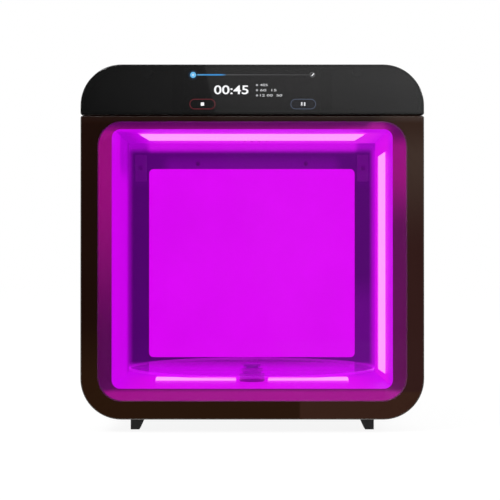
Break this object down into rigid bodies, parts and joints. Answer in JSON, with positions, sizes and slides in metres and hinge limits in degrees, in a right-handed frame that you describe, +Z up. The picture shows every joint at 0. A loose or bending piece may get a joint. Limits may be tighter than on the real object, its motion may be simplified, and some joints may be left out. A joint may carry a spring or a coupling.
{
  "type": "dental lab light curing unit",
  "caption": "Bench-top light curing unit: rounded steel cabinet, lit white chamber with a glass turntable behind a tinted swing door, and a head with a touch display.",
  "frame": {"origin": "on the ground under the middle of the object's box, level with the bottom of the feet", "axes": "+Z up, the door and the head face -Y, +X to the right of someone facing the door"},
  "size_m": [0.39, 0.424, 0.418],
  "materials": {
    "cabinet_paint": "satin powder coat",
    "foot_rubber": "matt",
    "dark_moulding": "fine moulded grain",
    "white_moulding": "satin",
    "smoked_plate": "polished",
    "tinted_plate": "polished",
    "clear_glass": "polished",
    "display_black": "gloss",
    "plain_steel": "zinc plated",
    "circuit_board": "solder mask",
    "module_case": "pressed sheet",
    "aluminium_profile": "mill finish",
    "black_plastic": "satin",
    "chamber_white": "smooth white coat",
    "screw_steel": "zinc plated",
    "light_diffuser": "opal",
    "led_board": "white solder mask",
    "bearing_brass": "turned",
    "motor_case": "satin",
    "fan_plastic": "moulded",
    "pin_steel": "ground",
    "magnet_nickel": "nickel plated",
    "seal_silicone": "matt silicone"
  },
  "bodies": {
    "cabinet": {"outer_shell": "cabinet_paint", "base_pan": "cabinet_paint", "rear_panel": "cabinet_paint", "feet": "foot_rubber", "face_frame": "dark_moulding", "head_housing": "dark_moulding", "mouth_bezel": "white_moulding", "head_window": "smoked_plate", "display_module": "display_black", "display_bracket": "plain_steel", "electronics_tray": "plain_steel", "chamber_rails": "plain_steel", "control_board": "circuit_board", "power_supply": "module_case", "led_driver": "aluminium_profile", "mains_inlet": "black_plastic", "switch_housing": "black_plastic", "interlock_switch": "black_plastic", "liner_floor": "chamber_white", "liner_left": "chamber_white", "liner_right": "chamber_white", "liner_ceiling": "chamber_white", "liner_back": "chamber_white", "corner_plates": "plain_steel", "chamber_screws": "screw_steel", "cabinet_screws": "screw_steel", "rear_light_diffuser": "light_diffuser", "top_light_diffuser": "light_diffuser", "right_light_diffuser": "light_diffuser", "floor_light_diffusers": "light_diffuser", "rear_light_frame": "white_moulding", "rear_light_board": "led_board", "top_light_board": "led_board", "right_light_board": "led_board", "floor_light_boards": "led_board", "rear_light_heatsink": "aluminium_profile", "light_carriers": "aluminium_profile", "turntable_bushing": "bearing_brass", "turntable_motor": "plain_steel", "heater_element": "aluminium_profile", "blower_housing": "plain_steel", "blower_motor": "motor_case", "cooling_fan_frames": "fan_plastic", "hinge_arms": "plain_steel", "hinge_pins": "pin_steel", "catch_magnets": "magnet_nickel", "door_seal": "seal_silicone"},
    "turntable": {"turntable_glass": "clear_glass", "turntable_hub": "dark_moulding", "turntable_cap": "dark_moulding"},
    "door": {"door_panel": "tinted_plate", "door_frame": "dark_moulding", "door_inner_glass": "clear_glass", "door_keepers": "magnet_nickel", "door_screws": "screw_steel"},
    "blower": {"blower_wheel": "fan_plastic"},
    "fan_left": {"cooling_fan_rotor_left": "fan_plastic"},
    "fan_right": {"cooling_fan_rotor_right": "fan_plastic"},
    "rocker": {"power_rocker": "black_plastic"},
    "plunger": {"interlock_plunger": "black_plastic"}
  },
  "joints": [
    {"name": "door_swing", "type": "hinge", "parent": "cabinet", "child": "door", "pos_m": [-0.1865, -0.2, 0.187], "axis": [0, 0, -1], "range_deg": [0, 105]},
    {"name": "turntable_spin", "type": "hinge", "parent": "cabinet", "child": "turntable", "pos_m": [0, -0.009, 0.057], "axis": [0, 0, 1], "continuous": true},
    {"name": "blower_spin", "type": "hinge", "parent": "cabinet", "child": "blower", "pos_m": [0, 0.084, 0.37], "axis": [0, 0, 1], "continuous": true},
    {"name": "fan_left_spin", "type": "hinge", "parent": "cabinet", "child": "fan_left", "pos_m": [-0.062, 0.193, 0.2], "axis": [0, 1, 0], "continuous": true},
    {"name": "fan_right_spin", "type": "hinge", "parent": "cabinet", "child": "fan_right", "pos_m": [0.062, 0.193, 0.2], "axis": [0, 1, 0], "continuous": true},
    {"name": "power_switch_rock", "type": "hinge", "parent": "cabinet", "child": "rocker", "pos_m": [-0.084, 0.2045, 0.052], "axis": [1, 0, 0], "range_deg": [-18, 0]},
    {"name": "interlock_travel", "type": "slide", "parent": "cabinet", "child": "plunger", "axis": [0, -1, 0], "range_m": [0, 0.003]}
  ],
  "couplings": [
    {"joint": "interlock_travel", "follows": "door_swing", "m_per_rad": 0.0016369}
  ]
}
